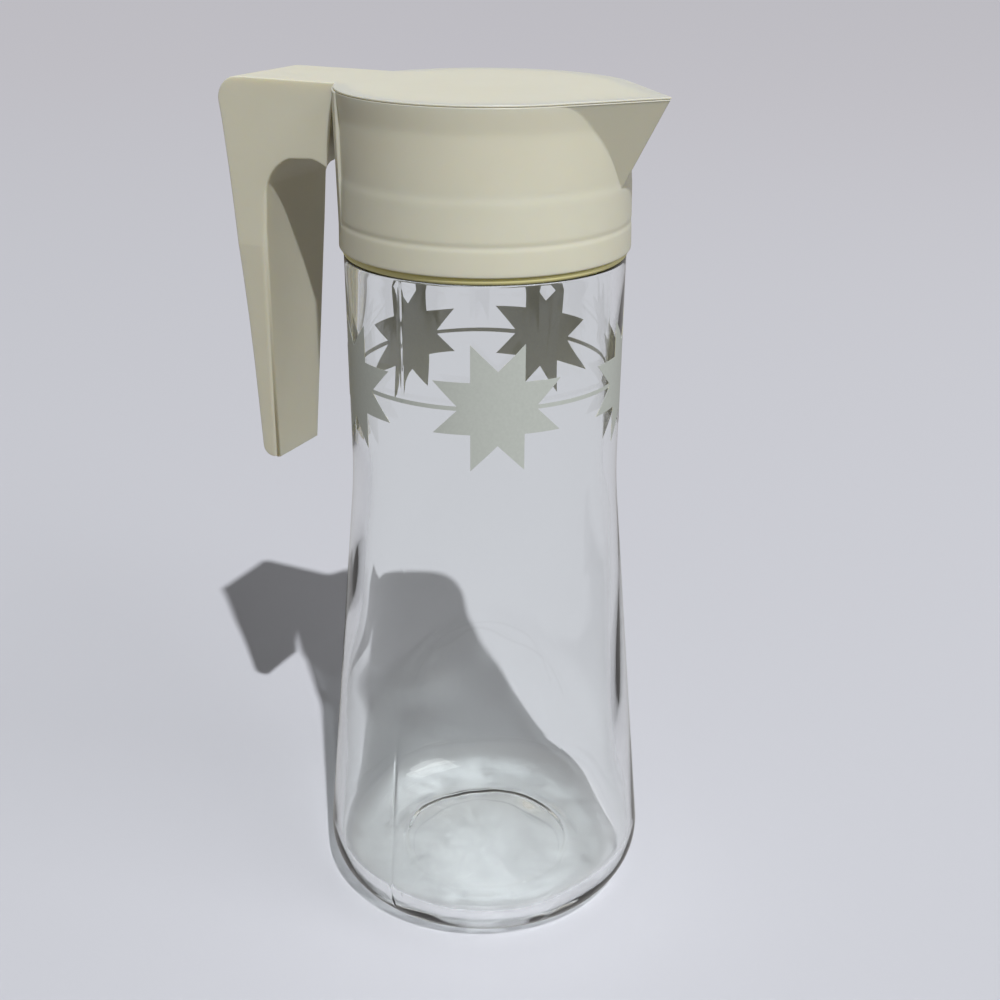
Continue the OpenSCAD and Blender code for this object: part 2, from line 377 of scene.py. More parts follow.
def seen_ray(tree: bpy.types.NodeTree, gloss: float) -> bpy.types.NodeSocket:
    """Adds nodes that give 1 to what the camera sees, straight or through glass.

    Args:
        tree: The node tree.
        gloss: Value for what it sees mirrored.

    Returns:
        The socket, which is 0 for diffuse light.
    """
    path = add_node(tree, "ShaderNodeLightPath")
    mirrored = calculate(tree, "MULTIPLY", path.outputs["Is Glossy Ray"], gloss)
    through = calculate(
        tree, "MAXIMUM", path.outputs["Is Camera Ray"], path.outputs["Is Transmission Ray"]
    )
    either = calculate(tree, "MAXIMUM", mirrored, through)
    direct = calculate(tree, "LESS_THAN", path.outputs["Diffuse Depth"], 0.5)
    return calculate(tree, "MULTIPLY", either, direct)


@dataclass(frozen=True)
class PressedGlass:
    """Clear soda-lime glass, pressed and fire polished.

    It looks colourless, and mirror-like on both faces. Lamps shine through it, so
    it throws a grey shadow, darker where the light grazes the wall, and its
    uneven base gathers the light to pale streaks on the floor.
    """

    tint: str = "#FEFFFE"
    shadow_tint: str = "#E8EAE9"
    shadow_edge: str = "#8A8C8C"
    base_z: tuple[float, float] = (0.010, 0.024)
    base_calm: float = 0.7
    streak_mm: float = 9.0
    streak_turn_deg: float = -26.0
    streak_narrow: float = 2.6
    streak_detail: float = 3.0
    streak_wind: float = 1.2
    streak_span: tuple[float, float] = (0.45, 0.57)
    streak_depth: float = 0.7
    ior: float = 1.52
    roughness: float = 0.0

    def shadow(self, tree: bpy.types.NodeTree) -> bpy.types.NodeSocket:
        """Colour of the light that a face lets through to the floor.

        It turns from shadow tint to shadow edge with the facing angle, which
        counts less near the base, plus streaks near the base.

        Args:
            tree: The glass's node tree.

        Returns:
            The colour's socket.
        """
        facing = add_node(tree, "ShaderNodeLayerWeight", {"Blend": 0.5})
        split = add_node(tree, "ShaderNodeSeparateXYZ", {0: object_place(tree)})
        low = remap(tree, split.outputs["Z"], self.base_z, (1.0, 0.0))
        turned = turn_place(tree, self.streak_turn_deg, (1.0, self.streak_narrow, 1.0))
        wander = noise(tree, turned, self.streak_mm, self.streak_detail, self.streak_wind)
        streak = remap(tree, wander, self.streak_span, (0.0, self.streak_depth))
        streak = calculate(tree, "MULTIPLY", streak, low)
        calm = calculate(tree, "MULTIPLY_ADD", low, -self.base_calm, 1.0)
        edge = calculate(tree, "MULTIPLY_ADD", facing.outputs["Facing"], calm, streak, clamp=True)
        return mix_colour(tree, edge, linear(self.shadow_tint), linear(self.shadow_edge))

    def material(self) -> bpy.types.Material:
        """Builds the glass: clear for shadow rays, and refracting for all others.

        Returns:
            The material.
        """
        material, tree = new_material("soda_lime_glass_pressed")
        glass = add_node(
            tree,
            "ShaderNodeBsdfPrincipled",
            {
                "Base Color": linear(self.tint),
                "Roughness": self.roughness,
                "IOR": self.ior,
                "Transmission Weight": 1.0,
            },
        )
        clear = add_node(tree, "ShaderNodeBsdfTransparent", {"Color": self.shadow(tree)})
        path = add_node(tree, "ShaderNodeLightPath")
        mixed = add_node(
            tree,
            "ShaderNodeMixShader",
            {0: path.outputs["Is Shadow Ray"], 1: glass.outputs[0], 2: clear.outputs[0]},
        )
        add_node(tree, "ShaderNodeOutputMaterial", {"Surface": mixed.outputs[0]})
        return material


@dataclass(frozen=True)
class FiredEnamel:
    """Screen-printed ceramic enamel, fired into the glass.

    A thin greyish white, satin, with the fine mottle of the screen's mesh.
    """

    colour: str = "#C2C8C4"
    colour_low: str = "#B5BBB7"
    roughness: float = 0.42
    mottle_mm: float = 0.6
    mottle_detail: float = 2.0
    name: str = "ceramic_enamel_screen_printed"

    def material(self) -> bpy.types.Material:
        """Builds the enamel.

        Returns:
            The material.
        """
        material, tree = new_material(self.name)
        share = noise(tree, object_place(tree), self.mottle_mm, self.mottle_detail)
        colour = mix_colour(tree, share, linear(self.colour_low), linear(self.colour))
        return with_surface(material, {"Base Color": colour, "Roughness": self.roughness})


@dataclass(frozen=True)
class MouldedPolypropylene:
    """Cream polypropylene from an injection mould.

    Semi-gloss with a soft, slightly milky depth, faint flow clouds in the
    colour and a very fine unevenness that breaks up the highlights.
    """

    colour: str = "#DCDAC9"
    colour_low: str = "#D6D3C0"
    roughness: float = 0.32
    cloud_mm: float = 14.0
    cloud_detail: float = 3.0
    ripple_mm: float = 3.5
    ripple_depth_mm: float = 0.02
    milk_share: float = 0.45
    milk_mm: float = 4.0
    milk_reach: tuple[float, float, float] = (1.0, 0.78, 0.42)

    def material(self) -> bpy.types.Material:
        """Builds the plastic.

        Returns:
            The material.
        """
        material, tree = new_material("polypropylene_cream_moulded")
        cloud = noise(tree, object_place(tree), self.cloud_mm, self.cloud_detail)
        ripple = noise(tree, object_place(tree), self.ripple_mm, 1.0)
        bump = add_node(
            tree,
            "ShaderNodeBump",
            {"Height": ripple, "Distance": self.ripple_depth_mm * MM, "Strength": 1.0},
        )
        return with_surface(
            material,
            {
                "Base Color": mix_colour(tree, cloud, linear(self.colour_low), linear(self.colour)),
                "Roughness": self.roughness,
                "Normal": bump.outputs[0],
                "Subsurface Weight": self.milk_share,
                "Subsurface Scale": self.milk_mm * MM,
                "Subsurface Radius": self.milk_reach,
            },
        )


@dataclass(frozen=True)
class SoftVinyl:
    """Soft plasticised vinyl, olive yellow with age.

    Smooth and slightly see-through, so its edge glows a little in the light.
    """

    colour: str = "#EEE6A6"
    roughness: float = 0.38
    milk_share: float = 0.4
    milk_mm: float = 3.0
    milk_reach: tuple[float, float, float] = (1.0, 0.9, 0.3)

    def material(self) -> bpy.types.Material:
        """Builds the vinyl.

        Returns:
            The material.
        """
        material, _ = new_material("soft_vinyl_moulded")
        return with_surface(
            material,
            {
                "Base Color": linear(self.colour),
                "Roughness": self.roughness,
                "Subsurface Weight": self.milk_share,
                "Subsurface Scale": self.milk_mm * MM,
                "Subsurface Radius": self.milk_reach,
            },
        )


@dataclass(frozen=True)
class StudioPaper:
    """Matt pale paper under and behind the object, a little lighter near the lamp.

    It is darker for the light that it throws back at the object, so that the
    sides and undersides stay as dark as in a large dim room.
    """

    near: str = "#CACCD4"
    far: str = "#CAC9D0"
    unseen: str = "#8C8881"
    mirrored: float = 0.35
    turn_deg: float = -95.0
    reach_m: tuple[float, float] = (-0.25, 1.6)

    def material(self) -> bpy.types.Material:
        """Builds the paper.

        Returns:
            The material.
        """
        material, tree = new_material("studio_paper_matt")
        split = add_node(tree, "ShaderNodeSeparateXYZ", {0: turn_place(tree, self.turn_deg)})
        share = remap(tree, split.outputs["X"], self.reach_m, interpolation_type="SMOOTHSTEP")
        colour = mix_colour(tree, share, linear(self.near), linear(self.far))
        shown = mix_colour(tree, seen_ray(tree, self.mirrored), linear(self.unseen), colour)
        surface = add_node(tree, "ShaderNodeBsdfDiffuse", {"Color": shown})
        add_node(tree, "ShaderNodeOutputMaterial", {"Surface": surface.outputs[0]})
        return material


@dataclass
class GlassJar:
    """The jar: a flare on a thick base, a straight neck, and the mouth. Sizes in mm."""

    base_r: float = 37.18
    heel_r: float = 12.0
    rest_in_r: float = 24.2
    rest_step: float = 0.05
    push_up: float = 3.6
    waist_r: float = 28.97
    waist_h: float = 102.5
    waist_blend_r: float = 130.0
    neck_r: float = 29.25
    shoulder_h: float = 151.85
    shoulder_round: float = 0.4
    mouth_r: float = 27.0
    mouth_z: float = 168.15
    mouth_t: float = 2.7
    wall_t: float = 2.9
    floor_t: float = 3.6
    inner_heel_r: float = 9.0
    inner_floor_r: float = 25.3
    ring_r: float = 20.0
    ring_w: float = 0.55
    ring_h: float = 0.32
    seam_azimuth: float = -98.0
    seam_w: float = 0.35
    seam_h: float = 0.10
    seam_levels: tuple[float, ...] = (8, 42, 55, 118, 130, 150)
    seam_shares: tuple[float, ...] = (1, 1, 0.12, 0.12, 0.7, 0.7)
    rear_seam_share: float = 0.3
    grid_deg: float = 1.1

    def lean(self, foot: float, corner: float, angle: float = 0.0) -> float:
        """Works out how far the flare leans, with its heel's arc ending at an angle.

        Args:
            foot: Height of the skin's lowest point.
            corner: Radius of its heel.
            angle: Where the heel's arc ends, in degrees above level.

        Returns:
            The lean from upright in degrees.
        """
        run = self.base_r - corner * (1 - math.cos(math.radians(angle))) - self.waist_r
        rise = self.waist_h - foot - corner * (1 + math.sin(math.radians(angle)))
        return math.degrees(math.atan(run / rise))

    def skin(self, inset: float, foot: float, corner: float) -> np.ndarray:
        """Profile of one skin: the heel's arc, the straight flare, and the long waist arc.

        Args:
            inset: Distance of this skin inside the outer one.
            foot: Height of its lowest point.
            corner: Radius of its heel.

        Returns:
            Points (r, z) upwards.
        """
        angle = self.lean(foot, corner, self.lean(foot, corner))
        blend = self.waist_blend_r + inset
        rise = blend * math.tan(math.radians(angle) / 2)
        heel = arc((self.base_r - inset - corner, foot + corner), corner, -90, angle, 28)
        middle = (self.waist_r - inset + blend, self.waist_h + rise)
        waist = arc(middle, blend, 180 + angle, 180, 24)
        return np.concatenate([heel, waist])

    def outer_profile(self) -> np.ndarray:
        """Profile of the outside, from the middle of the pushed-up underside to the mouth.

        The underside falls to the rest ring by 1 - s^2, with s from 0 to 1 outwards.

        Returns:
            Points (r, z).
        """
        edge = self.mouth_t / 2
        run = np.linspace(0, 1, 24)
        rise = self.rest_step + (self.push_up - self.rest_step) * (1 - run**2)
        under = np.stack([self.rest_in_r * run, rise], axis=1)
        soft = self.shoulder_round
        shoulder = arc((self.neck_r - soft, self.shoulder_h - soft), soft, 0, 90, 7)
        mouth = arc((self.mouth_r - edge, self.mouth_z - edge), edge, 0, 90, 7)
        inner_corner = [[self.mouth_r, self.shoulder_h]]
        return np.concatenate([under, self.skin(0, 0, self.heel_r), shoulder, inner_corner, mouth])

    def inner_profile(self) -> np.ndarray:
        """Profile of the inside, from the mouth down to the middle of the floor.

        The floor has close points where its ring comes.

        Returns:
            Points (r, z).
        """
        edge = self.mouth_t / 2
        lip = arc((self.mouth_r - edge, self.mouth_z - edge), edge, 90, 180, 7)
        throat = np.array(
            [
                [self.mouth_r - self.mouth_t, self.shoulder_h + 0.6],
                [self.neck_r - self.wall_t, self.shoulder_h - 0.6],
            ]
        )
        near = np.linspace(self.ring_r + 4 * self.ring_w, self.ring_r - 4 * self.ring_w, 33)
        floor = np.stack([np.append(near, 0.0), np.full(34, self.floor_t)], axis=1)
        side = self.skin(self.wall_t, self.floor_t, self.inner_heel_r)[::-1]
        return np.concatenate([lip, throat, side, floor])

    def outer_radius(self, z: np.ndarray) -> np.ndarray:
        """Radius of the outside at given heights.

        Args:
            z: Heights above the heel.

        Returns:
            The radii, in an array of the same shape.
        """
        side = self.skin(0, 0, self.heel_r)
        side = np.concatenate([side[side[:, 1] > self.heel_r], [[self.neck_r, self.shoulder_h]]])
        return np.interp(z, side[:, 1], side[:, 0])

    def angles(self) -> np.ndarray:
        """Angles of the grid: even steps, and finer ones at the two mould seams.

        Returns:
            Angles in radians, of shape (1, n).
        """
        even = np.radians(np.arange(0, 360, self.grid_deg))
        near = np.radians(np.linspace(-1.0, 1.0, 11))
        seams = [math.radians(self.seam_azimuth + turn) + near for turn in (0, 180)]
        return np.unique(np.round(np.concatenate([even, *seams]) % (2 * math.pi), 6))[None, :]

    def seams(self, angle: np.ndarray, r: np.ndarray, z: np.ndarray) -> np.ndarray:
        """Height of the ridges at the two mould seams.

        It is h * exp(-(d / w)^2) with d the distance from the seam, high on the
        heel and the neck and almost gone between, and lower on the rear seam.

        Args:
            angle: Angles round Z.
            r: Radii.
            z: Heights.

        Returns:
            The heights.
        """
        off = (np.degrees(angle) - self.seam_azimuth + 90) % 180 - 90
        level = np.interp(z, self.seam_levels, self.seam_shares)
        front = np.cos(angle - math.radians(self.seam_azimuth)) > 0
        share = np.where(front, 1.0, self.rear_seam_share)
        return self.seam_h * level * share * np.exp(-((np.radians(off) * r / self.seam_w) ** 2))

    def floor_form(self, angle: np.ndarray, r: np.ndarray) -> tuple[np.ndarray, np.ndarray]:
        """Works out the form of the inner floor.

        The ripple is a sum of three slow sines. The ring is
        h * exp(-((r - ring radius) / w)^2), on a dome that falls by 1 - s^2.

        Args:
            angle: Angles round Z.
            r: Radii.

        Returns:
            Height of the ripple, and height of ring and dome.
        """
        east, north = r * np.cos(angle), r * np.sin(angle)
        ripple = (
            0.16 * np.sin(east / 3.7 + 1.4 * np.sin(north / 6.1) + 0.6)
            + 0.12 * np.sin(north / 2.6 + 1.1 * np.sin(east / 5.3))
            + 0.07 * np.sin((east + north) / 1.7)
        )
        ring = self.ring_h * np.exp(-(((r - self.ring_r) / self.ring_w) ** 2))
        dome = self.push_up * np.clip(1 - (r / self.inner_floor_r) ** 2, 0, 1)
        return ripple, ring + dome

    def build(self) -> bpy.types.Object:
        """Builds the jar as one closed surface.

        The profile is turned round Z. The outside carries the mould seams. The
        inside is a little wavy, as where glass met the plunger: its radius gets
        a sum of three slow sines that fades towards the mouth.

        Returns:
            The jar.
        """
        outer = resample(self.outer_profile(), 1.2)
        inner = resample(self.inner_profile(), 0.9)
        profile = np.concatenate([outer, inner])
        angle = self.angles()
        r = profile[:, :1] + 0 * angle
        z = profile[:, 1:] + 0 * angle
        outside = (np.arange(len(profile)) < len(outer))[:, None]
        high = (z > self.heel_r / 2) & (z < self.shoulder_h - 1)
        wave = (
            0.10 * np.sin(5 * angle + z / 19)
            + 0.07 * np.sin(8 * angle - z / 11 + 1.3)
            + 0.05 * np.sin(3 * angle + z / 6 + 0.4)
        )
        fade = np.clip((self.shoulder_h - 4 - z) / 12, 0, 1) * np.clip(r / 10, 0, 1)
        r = r + np.where(outside & high, self.seams(angle, r, z), 0)
        r = r + np.where(~outside, wave * fade, 0)

        floor = ~outside & (z < self.floor_t + 4)
        ripple, form = self.floor_form(angle, r)
        z = z + np.where(floor, ripple * np.clip((self.floor_t + 4 - z) / 4, 0, 1), 0)
        z = z + np.where(floor, form, 0)
        points = np.stack([r * np.cos(angle), r * np.sin(angle), z], axis=-1)
        return grid_piece("glass_jar_pressed", points)


@dataclass
class StarPrint:
    """Five eight-pointed stars and the line that joins them, printed on the neck."""

    jar: GlassJar
    middle_z: float = 127.15
    first_azimuth: float = -58.5
    count: int = 5
    tip_r: float = 14.2
    notch_share: float = 0.5412
    points: int = 8
    line_w: float = 0.9
    star_t: float = 0.05
    line_t: float = 0.03
    lift: float = 0.01

    def wrap(self, u: np.ndarray, v: np.ndarray, azimuth: float, lift: np.ndarray) -> np.ndarray:
        """Lays flat points on the glass, at the radius of its outside plus a lift.

        Args:
            u: Arc lengths round the glass.
            v: Heights above the print's middle.
            azimuth: Direction of u = 0 in degrees.
            lift: Distances in front of the glass.

        Returns:
            The points.
        """
        z = self.middle_z + v
        r = self.jar.outer_radius(z)
        a = math.radians(azimuth) + u / r
        return np.stack([(r + lift) * np.cos(a), (r + lift) * np.sin(a), z], axis=-1)

    def star(self, index: int) -> bpy.types.Object:
        """Makes one star: its outline, scaled towards its middle on both faces of the film.

        The outline's corners lie at tip radius and notch radius in turn, and its
        sides are straight. The film is a flat pillow with a thin square edge.

        Args:
            index: Number of the star, from 0.

        Returns:
            The star.
        """
        corner = np.arange(2 * self.points + 1)
        a = np.radians(22.5 + corner * 180 / self.points)
        radius = np.where(corner % 2 == 0, self.tip_r, self.tip_r * self.notch_share)
        line = np.stack([radius * np.cos(a), radius * np.sin(a)], axis=1)
        line = resample(line, 1.0)[:-1]
        share = np.concatenate([np.linspace(0, 1, 15), np.linspace(1, 0, 15)])[:, None]
        lift = np.concatenate([np.full(15, self.star_t), np.full(15, self.lift)])[:, None]
        azimuth = self.first_azimuth + index * 360 / self.count
        points = self.wrap(share * line[:, 0], share * line[:, 1], azimuth, lift + 0 * share)
        return grid_piece(f"printed_star_{index + 1}", points)

    def line(self) -> bpy.types.Object:
        """Makes the joining line: a flat band all round, as a closed ring with four edges.

        Returns:
            The line.
        """
        half = self.line_w / 2
        v = np.array([-half, half, half, -half])[:, None]
        lift = np.array([self.line_t, self.line_t, self.lift, self.lift])[:, None]
        angle = np.radians(np.arange(0, 360, 1.5))[None, :]
        r = self.jar.outer_radius(self.middle_z + v) + lift
        z = self.middle_z + v + 0 * angle
        points = np.stack([r * np.cos(angle), r * np.sin(angle), z], axis=-1)
        return grid_piece("printed_line", points, wrap_rows=True)

    def build(self) -> list[bpy.types.Object]:
        """Returns all pieces of the print."""
        return [*(self.star(i) for i in range(self.count)), self.line()]


@dataclass
class NeckSeal:
    """The vinyl sleeve, with its flange below the collar and its lip over the mouth."""

    inner_r: float = 27.1
    sleeve_r: float = 28.5
    flange_r: float = 29.5
    flange_t: float = 1.5
    lip_r: float = 24.5
    lip_t: float = 1.0
    foot_z: float = 153.45
    shelf_z: float = 169.25

    def build(self) -> bpy.types.Object:
        """Builds the seal: a closed profile turned round Z, its flange with a full round edge.

        Returns:
            The seal.
        """
        half = self.flange_t / 2
        bead = arc((self.flange_r - half, self.foot_z - half), half, -90, 90, 11)
        profile = np.concatenate(
            [
                [[self.inner_r, self.foot_z - self.flange_t]],
                bead,
                [
                    [self.sleeve_r, self.foot_z],
                    [self.sleeve_r, self.shelf_z],
                    [self.lip_r, self.shelf_z],
                    [self.lip_r, self.shelf_z - self.lip_t],
                    [self.inner_r, self.shelf_z - self.lip_t],
                    [self.inner_r, self.foot_z - self.flange_t],
                ],
            ]
        )
        angle = np.radians(np.arange(0, 360, 1.5))
        return revolve("vinyl_neck_seal", profile, angle)


@dataclass
class SpoutOutline:
    """Horizontal sections of what has the spout: a circle and two slanting planes.

    In polar form a section is R(t) = max(circle, spout), where the spout's side
    is the line D / cos(t - n), with D its distance from the axis and n the
    direction of its normal, and its tip is a small arc.
    """

    rim_z: float = 184.66
    rim_r: float = 30.15
    tip_x: float = 38.98
    foot_x: float = 30.15
    drop: float = 16.9
    tip_round: float = 0.55
    least_round: float = 0.08
    tip_steps: int = 5
    side_steps: int = 26
    circle_steps: int = 110

    @property
    def normal(self) -> float:
        """Direction of the side plane's normal, seen from above, in radians."""
        return math.acos(self.rim_r / self.tip_x)

    @property
    def flatness(self) -> float:
        """Share of the side plane's unit normal that is horizontal."""
        rise = (self.tip_x - self.foot_x) / self.drop
        return 1 / math.sqrt(1 + (rise * math.cos(self.normal)) ** 2)

    def section(
        self, radius: float, z: float, inset: float, lands: "Lands", land_r: float
    ) -> np.ndarray:
        """Outline at height z, with the planes moved in by inset.

        Args:
            radius: Radius of the circle.
            z: Height, which sets how far the tip stands out.
            inset: Distance that the planes move in.
            lands: The smooth lands on both sides of the handle.
            land_r: Their radius at this height.

        Returns:
            Points (x, y), counter-clockwise from the tip.
        """
        tip = self.foot_x + (self.tip_x - self.foot_x) * (z - self.rim_z + self.drop) / self.drop
        far = tip * math.cos(self.normal) - inset / self.flatness
        bend = max(self.tip_round - inset, self.least_round)
        middle = (far - bend) / math.cos(self.normal)
        start = math.atan2(bend * math.sin(self.normal), middle + bend * math.cos(self.normal))
        leave = self.normal - math.acos(min(1.0, max(-1.0, far / radius)))
        leave = min(max(leave, start + 0.02), self.normal)
        t = np.concatenate(
            [
                np.linspace(0, start, self.tip_steps)[:-1],
                np.linspace(start, leave, self.side_steps)[:-1],
                np.linspace(leave, lands.edges[0], self.circle_steps)[:-1],
                lands.steps(),
            ]
        )
        nose = middle * np.cos(t) + np.sqrt(np.maximum(bend**2 - (middle * np.sin(t)) ** 2, 0))
        side = far / np.cos(np.minimum(t - self.normal, 0.5))
        spout = np.where(t < start, nose, np.where(t <= leave, side, 0))
        r = np.maximum(radius, spout)
        r = r + np.maximum(land_r - r, 0) * lands.share(t)
        t = np.concatenate([t, -t[-2:0:-1]])
        r = np.concatenate([r, r[-2:0:-1]])
        return np.stack([r * np.cos(t), r * np.sin(t)], axis=1)

    def rows(self, table: np.ndarray, lands: "Lands") -> np.ndarray:
        """Stacks sections to a grid, lowered behind to the notch that the handle passes over.

        Args:
            table: Rows of (circle radius, height of the section, inset, height it is laid at,
                radius of the lands).
            lands: The smooth lands on both sides of the handle.

        Returns:
            Points of shape (rows, columns, 3).
        """
        outlines = np.stack([self.section(r, z, d, lands, land_r) for r, z, d, _, land_r in table])
        turn = np.arctan2(np.abs(outlines[..., 1]), outlines[..., 0])
        level = np.broadcast_to(table[:, 3, None], turn.shape)
        level = np.where(turn > lands.notch_edge, np.minimum(level, lands.notch_z), level)
        return np.concatenate([outlines, level[..., None]], axis=2)


@dataclass
class Lands:
    """Two smooth strips that stand out from the collar beside the handle, and their notch."""

    outer_y: float = 20.6
    inner_y: float = 12.1
    radius: float = 30.15
    soft: float = 0.35
    notch_z: float = 183.7
    rim_out: float = 0.35
    foot_in: float = 0.2

    @property
    def edges(self) -> tuple[float, float]:
        """Where a strip starts and ends, as angles from the spout in radians."""
        start, end = (math.asin(y / self.radius) for y in (self.outer_y, self.inner_y))
        return math.pi - start, math.pi - end

    @property
    def notch_edge(self) -> float:
        """The angle from the spout beyond which the rim is low."""
        return self.edges[1] + self.soft / self.radius / 2

    def share(self, t: np.ndarray) -> np.ndarray:
        """How much of a strip stands out: 1 on it, with smooth steps at its sides.

        A step is 3 s^2 - 2 s^3 with s running from 0 to 1 over its width.

        Args:
            t: Angles from the spout.

        Returns:
            The share at each angle.
        """
        start, end = self.edges
        scale = self.radius / self.soft
        s = np.clip((t - start) * scale, 0, 1) * np.clip((end - t) * scale + 1, 0, 1)
        return s * s * (3 - 2 * s)

    def steps(self) -> np.ndarray:
        """Angles of the grid, close together at the strip's sides.

        Returns:
            Angles from a strip's start to the middle of the rear.
        """
        start, end = self.edges
        width = self.soft / self.radius
        return np.concatenate(
            [
                np.linspace(start, start + width, 7)[:-1],
                np.linspace(start + width, end, 14)[:-1],
                np.linspace(end, end + width, 9)[:-1],
                np.linspace(end + width, math.pi, 24),
            ]
        )

    def radius_at(self, z: np.ndarray, foot_z: float, rim_z: float) -> np.ndarray:
        """Radius of the strips at heights z: straight from the foot to the rim."""
        return self.radius + np.interp(z, [foot_z, rim_z], [-self.foot_in, self.rim_out])


@dataclass
class PouringCollar:
    """The collar: three bands outside, the spout, the shelf and the chamber inside."""

    outline: SpoutOutline = field(default_factory=SpoutOutline)
    lands: Lands = field(default_factory=Lands)
    foot_z: float = 153.45
    rim_z: float = 184.66
    collar_r: float = 30.15
    foot_round: float = 0.35
    rim_round: float = 0.2
    low_band_z: float = 159.2
    mid_band_z: float = 168.2
    groove: float = 0.13
    groove_half_h: float = 0.9
    band_soft: float = 0.55
    low_lean: float = 0.15
    mid_lean: float = 0.2
    ledge_in: float = 0.16
    ledge_h: float = 1.0
    rim_band_h: float = 0.5
    rim_slope_h: float = 4.4
    sleeve_r: float = 28.5
    shelf_r: float = 24.5
    shelf_z: float = 169.25
    shelf_top_z: float = 170.95
    chamber_r: float = 27.9
    spout_wall: float = 1.5
    pivot_x: float = 33.0
    pivot_z: float = 179.65
    lug_r: float = 3.0
    lug_w: float = 8.0
    lug_soft: float = 0.3
    trunnion_r: float = 1.7
    trunnion_l: float = 11.4

    def band_radius(self, z: np.ndarray) -> np.ndarray:
        """Radius of the outside: straight between the edges of the bands.

        The edges are softened by a weighted mean over nearby heights, with the
        weight exp(-(d / soft)^2 / 2). The line between the two lower bands is a
        groove, depth * exp(-(1.5 d / half)^2) with d the distance from its middle.

        Args:
            z: Heights.

        Returns:
            The radii.
        """
        low = self.collar_r - self.low_lean
        middle = low - self.mid_lean
        waist = middle - self.ledge_in
        edges = np.array(
            [
                [self.foot_z, self.collar_r],
                [self.low_band_z, low],
                [self.mid_band_z - self.ledge_h, middle],
                [self.mid_band_z, waist],
                [self.rim_z - self.rim_band_h - self.rim_slope_h, waist],
                [self.rim_z - self.rim_band_h, self.collar_r],
                [self.rim_z, self.collar_r],
            ]
        )
        groove = self.groove * np.exp(-(((z - self.low_band_z) / self.groove_half_h * 1.5) ** 2))
        part = np.linspace(-2.5, 2.5, 21)[:, None]
        weight = np.exp(-(part**2) / 2)
        soft = np.interp(z + part * self.band_soft, edges[:, 0], edges[:, 1])
        return (soft * weight).sum(axis=0) / weight.sum() - groove

    def shell(self) -> bpy.types.Object:
        """Builds the collar's shell as one closed grid.

        Its rows are horizontal sections, carried up the outside, over the rim,
        down the chamber and the spout's channel, through the shelf's passage,
        and down the skirt's bore back to the foot.

        Returns:
            The shell.
        """
        a = np.radians(np.linspace(0, 90, 5))
        foot = self.foot_round
        rim = self.rim_round
        foot_rows = np.stack(
            [
                self.collar_r - foot * (1 - np.sin(a)),
                self.foot_z + 0 * a,
                0 * a,
                self.foot_z + foot * (1 - np.cos(a)),
                self.collar_r - self.lands.foot_in - foot * (1 - np.sin(a)),
            ],
            axis=1,
        )
        z = np.linspace(self.foot_z + foot, self.rim_z - rim, 84)
        marks = self.low_band_z + self.groove_half_h * np.linspace(-1.5, 1.5, 13)
        ledge = self.mid_band_z - self.ledge_h * np.array([0, 1])
        slope = self.rim_z - self.rim_band_h - self.rim_slope_h * np.array([0, 1])
        z = np.unique(np.concatenate([z, marks, ledge, slope]))
        land = self.lands.radius_at(z, self.foot_z, self.rim_z)
        outside = np.stack([self.band_radius(z), z, 0 * z, z, land], axis=1)
        rim_rows = np.stack(
            [
                self.collar_r - rim * (1 - np.cos(a)),
                self.rim_z + 0 * a,
                rim * (1 - np.cos(a)),
                self.rim_z - rim + rim * np.sin(a),
                self.collar_r + self.lands.rim_out - rim * (1 - np.cos(a)),
            ],
            axis=1,
        )
        z_in = np.linspace(self.rim_z, self.shelf_top_z, 30)
        same = 0 * z_in
        inside = np.stack(
            [self.chamber_r + same, z_in, self.spout_wall + same, z_in, same], axis=1
        )
        low = self.foot_z
        passage = np.array(
            [
                [self.shelf_r, low, 0, self.shelf_top_z, 0],
                [self.shelf_r, low, 0, self.shelf_z, 0],
                [self.sleeve_r, low, 0, self.shelf_z, 0],
                [self.sleeve_r, low, 0, self.foot_z, 0],
            ]
        )
        table = np.concatenate([foot_rows[:-1], outside, rim_rows, inside, passage])
        points = self.outline.rows(table, self.lands)
        piece = grid_piece("collar_with_spout", points, wrap_rows=True)
        even_normals(piece)
        return piece

    def lug(self) -> bpy.types.Object:
        """Builds the hinge lug: a round-ended plate, with a trunnion on each side.

        A profile of radius against width, turned round the hinge's axis, makes
        the eye and its trunnions, and its front half is drawn out to the collar.

        Returns:
            The lug.
        """
        half = self.lug_w / 2
        end = self.trunnion_l / 2
        soft = self.lug_soft
        profile = np.concatenate(
            [
                [[0.0, -end], [self.trunnion_r - soft, -end], [self.trunnion_r, -end + soft]],
                [[self.trunnion_r, -half], [self.lug_r - soft, -half], [self.lug_r, -half + soft]],
                [[self.lug_r, half - soft], [self.lug_r - soft, half], [self.trunnion_r, half]],
                [[self.trunnion_r, end - soft], [self.trunnion_r - soft, end], [0.0, end]],
            ]
        )
        angle = np.radians(np.arange(0, 360, 5))[None, :]
        r, y = profile[:, :1], profile[:, 1:] + 0 * angle
        web = np.abs(profile[:, 1:]) <= half
        eye = r > self.trunnion_r + soft / 2
        x = r * np.cos(angle)
        z = r * np.sin(angle)
        reach = self.pivot_x - (self.collar_r + self.chamber_r) / 2
        forward = web & eye & (np.cos(angle) >= -1e-6)
        steep = np.abs(np.tan(angle))
        drawn_z = np.sign(np.sin(angle)) * np.minimum(steep * reach, r)
        drawn_x = np.minimum(reach, r / np.maximum(steep, 1e-6) * reach / self.lug_r)
        x, z = np.where(forward, drawn_x, x), np.where(forward, drawn_z, z)
        points = np.stack([x - self.pivot_x, y, z + self.pivot_z], axis=-1)
        return grid_piece("hinge_lug", points)


